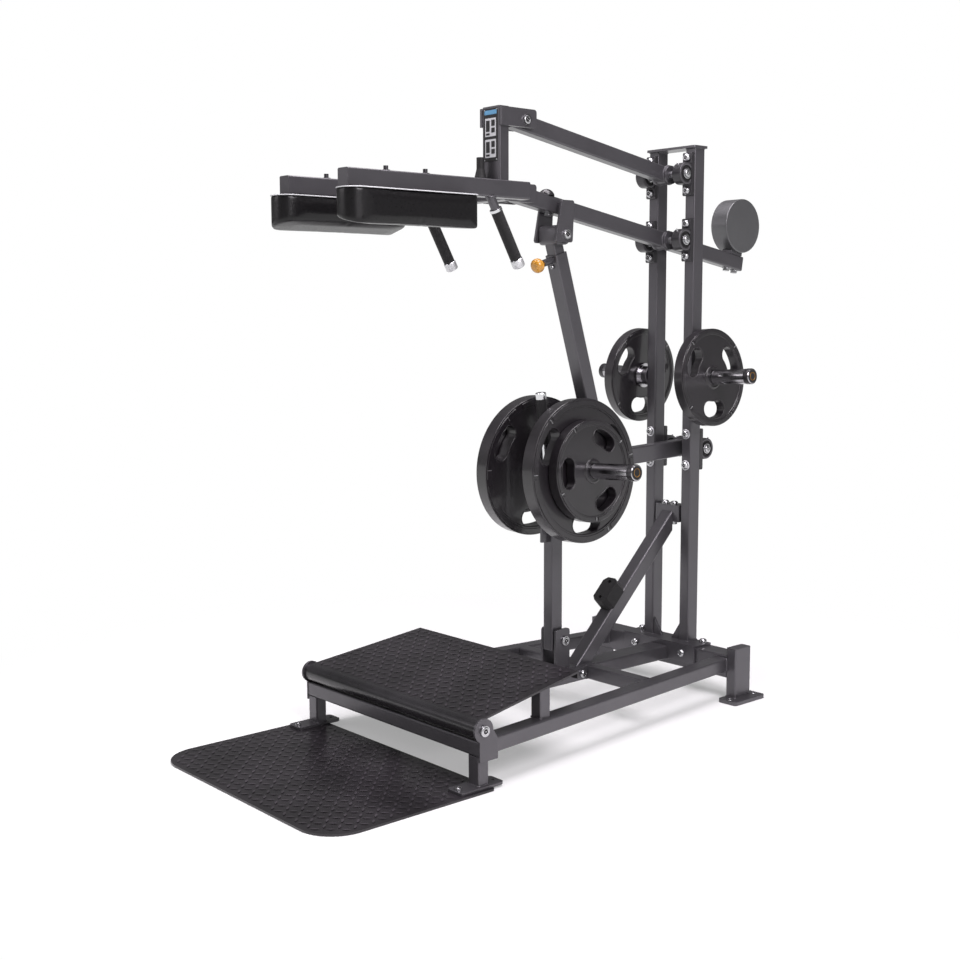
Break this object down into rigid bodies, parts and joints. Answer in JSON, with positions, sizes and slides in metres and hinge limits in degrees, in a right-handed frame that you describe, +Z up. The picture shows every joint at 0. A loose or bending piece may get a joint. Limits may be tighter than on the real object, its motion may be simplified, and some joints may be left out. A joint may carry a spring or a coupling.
{
  "type": "squat machine",
  "caption": "Plate-loaded squat machine: a foot platform, padded shoulder carriage on parallel arms, a link to a loaded weight arm, and a prop.",
  "frame": {"origin": "on the floor, under the middle of the machine's bounding box", "axes": "+Z up; the floor plate is at -Y and the uprights at +Y; X = 0 is the plane of symmetry"},
  "size_m": [0.852, 2.1686, 1.883],
  "materials": {
    "frame_paint": "satin metallic grey",
    "upright_paint": "satin metallic grey",
    "dark_paint": "satin black",
    "tread": "black diamond tread",
    "chrome": "polished",
    "steel": "zinc plated",
    "casting": "painted dark grey",
    "plate_iron": "satin black coating",
    "pad": "soft black vinyl",
    "rubber": "matte",
    "amber": "glossy amber"
  },
  "bodies": {
    "frame": {"floor_plate": "frame_paint", "front_legs": "frame_paint", "front_crossbar": "frame_paint", "side_rails": "frame_paint", "spine": "frame_paint", "mid_tubes": "frame_paint", "rear_crossbar": "frame_paint", "rear_posts": "frame_paint", "base_saddle": "frame_paint", "upright_left": "upright_paint", "upright_right": "upright_paint", "cap_plate": "frame_paint", "upper_bearings": "casting", "lower_bearings": "casting", "rear_bearings": "casting", "brace_head": "frame_paint", "diagonal_brace": "frame_paint", "bumper_block": "rubber", "prop_bracket": "frame_paint", "side_brackets": "frame_paint", "platform_roller": "dark_paint", "platform_deck": "tread", "platform_posts": "frame_paint", "storage_horn_right": "chrome", "storage_horn_left": "chrome", "frame_bolts": "steel"},
    "lower_arm": {"lower_arm": "frame_paint", "lower_shaft": "steel", "counterweight": "casting", "dome_bumper": "rubber", "arm_bolts": "steel", "link_clevis": "frame_paint", "link_pin": "steel"},
    "upper_arm": {"upper_arm": "frame_paint", "upper_shaft": "steel"},
    "carriage": {"carriage_mast": "frame_paint", "carriage_bolts": "chrome", "shoulder_tubes": "frame_paint", "yoke_crossbar": "frame_paint", "shoulder_pad_right": "pad", "shoulder_pad_left": "pad", "handles": "chrome", "grips": "rubber", "lever_boot": "rubber"},
    "link": {"link_tube": "steel", "link_sleeve": "frame_paint"},
    "pull_knob": {"pull_knob": "amber"},
    "weight_arm": {"weight_arm": "frame_paint", "weight_shaft": "steel", "weight_sleeve_right": "chrome", "weight_sleeve_left": "chrome"},
    "big_plate_right": {"weight_plate_big_right": "plate_iron"},
    "big_plate_left": {"weight_plate_big_left": "plate_iron"},
    "small_plate_right": {"weight_plate_small_right": "plate_iron"},
    "small_plate_left": {"weight_plate_small_left": "plate_iron"},
    "storage_plate_right": {"storage_plate_right": "plate_iron"},
    "storage_plate_left": {"storage_plate_left": "plate_iron"},
    "prop": {"prop_post": "frame_paint", "prop_rod": "chrome", "prop_grip": "rubber"}
  },
  "joints": [
    {"name": "squat", "type": "hinge", "parent": "frame", "child": "lower_arm", "pos_m": [0, 0.61115, 1.518], "axis": [1, 0, 0], "range_deg": [-4, 32]},
    {"name": "upper_arm_pivot", "type": "hinge", "parent": "frame", "child": "upper_arm", "pos_m": [0, 0.61115, 1.732], "axis": [1, 0, 0], "range_deg": [-4, 32]},
    {"name": "carriage_pivot", "type": "hinge", "parent": "lower_arm", "child": "carriage", "pos_m": [0, -0.06287, 1.63442], "axis": [1, 0, 0], "range_deg": [-32, 4]},
    {"name": "link_pivot", "type": "hinge", "parent": "lower_arm", "child": "link", "pos_m": [0, 0.10465, 1.519], "axis": [1, 0, 0], "range_deg": [-30.24, 3.87]},
    {"name": "weight_pivot", "type": "hinge", "parent": "frame", "child": "weight_arm", "pos_m": [0, 0.73515, 0.818], "axis": [1, 0, 0], "range_deg": [-4.9, 38.47]},
    {"name": "prop_pivot", "type": "hinge", "parent": "frame", "child": "prop", "pos_m": [0, 0.11965, 0.236], "axis": [1, 0, 0], "range_deg": [0, 15]},
    {"name": "knob_pull", "type": "slide", "parent": "link", "child": "pull_knob", "axis": [0, -0.9551, -0.2964], "range_m": [0, 0.014], "stiffness_N_per_m": 600, "springref_m": -0.004},
    {"name": "big_plate_right_off", "type": "slide", "parent": "weight_arm", "child": "big_plate_right", "axis": [0.9984, 0, 0.0558], "range_m": [0, 0.275]},
    {"name": "small_plate_right_off", "type": "slide", "parent": "big_plate_right", "child": "small_plate_right", "axis": [0.9984, 0, 0.0558], "range_m": [0, 0.225]},
    {"name": "storage_plate_right_off", "type": "slide", "parent": "frame", "child": "storage_plate_right", "axis": [0.9984, 0, 0.0558], "range_m": [0, 0.21]},
    {"name": "big_plate_left_off", "type": "slide", "parent": "weight_arm", "child": "big_plate_left", "axis": [-0.9984, 0, 0.0558], "range_m": [0, 0.275]},
    {"name": "small_plate_left_off", "type": "slide", "parent": "big_plate_left", "child": "small_plate_left", "axis": [-0.9984, 0, 0.0558], "range_m": [0, 0.225]},
    {"name": "storage_plate_left_off", "type": "slide", "parent": "frame", "child": "storage_plate_left", "axis": [-0.9984, 0, 0.0558], "range_m": [0, 0.21]}
  ],
  "couplings": [
    {"joint": "upper_arm_pivot", "follows": "squat", "ratio": 1},
    {"joint": "carriage_pivot", "follows": "squat", "ratio": -1},
    {"joint": "link_pivot", "follows": "squat", "ratio": -0.9419},
    {"joint": "weight_pivot", "follows": "squat", "ratio": 1.1992}
  ]
}
